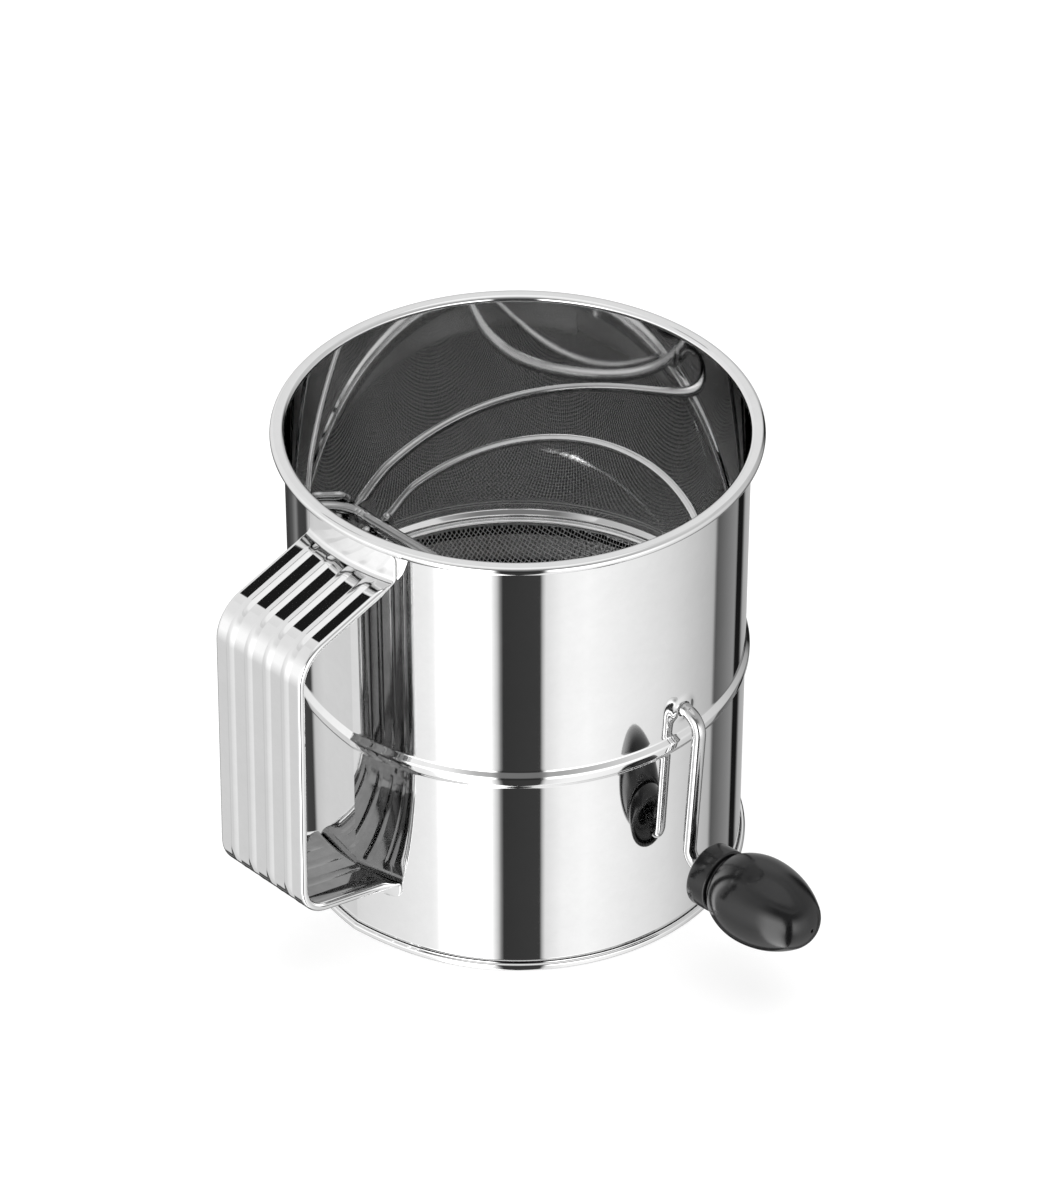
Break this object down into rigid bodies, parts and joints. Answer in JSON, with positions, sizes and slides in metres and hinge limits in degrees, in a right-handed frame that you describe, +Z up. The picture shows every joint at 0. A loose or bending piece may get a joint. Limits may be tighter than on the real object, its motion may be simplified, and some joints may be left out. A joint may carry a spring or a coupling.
{
  "type": "flour sifter",
  "caption": "Round sheet-steel flour sifter with a side handle, a dished wire screen and a hand crank that turns wire hoops over the screen.",
  "frame": {"origin": "on the body's axis, in the plane of the foot that it stands on", "axes": "+Z up along the body's axis; handle on -X; crank and knob on -Y"},
  "size_m": [0.2042, 0.2252, 0.1707],
  "materials": {
    "polished_sheet": "mirror-polished stainless sheet",
    "woven_wire": "fine woven stainless wire cloth",
    "bright_wire": "bright drawn stainless wire",
    "black_plastic": "glossy moulded black plastic"
  },
  "bodies": {
    "body": {"body_shell": "polished_sheet", "sieve_ring": "polished_sheet", "sieve_mesh": "woven_wire", "handle_strap": "polished_sheet"},
    "crank": {"crank_wire": "bright_wire", "agitator_loop_upper": "bright_wire", "agitator_loop_lower": "bright_wire"},
    "knob": {"knob_collar": "black_plastic", "knob_grip": "black_plastic"}
  },
  "joints": [
    {"name": "crank_spin", "type": "hinge", "parent": "body", "child": "crank", "pos_m": [0, 0, 0.094], "axis": [0, 1, 0], "continuous": true},
    {"name": "knob_spin", "type": "hinge", "parent": "crank", "child": "knob", "pos_m": [-0.004, -0.11817, 0.03682], "axis": [0.0037, -0.9986, 0.0522], "continuous": true}
  ]
}
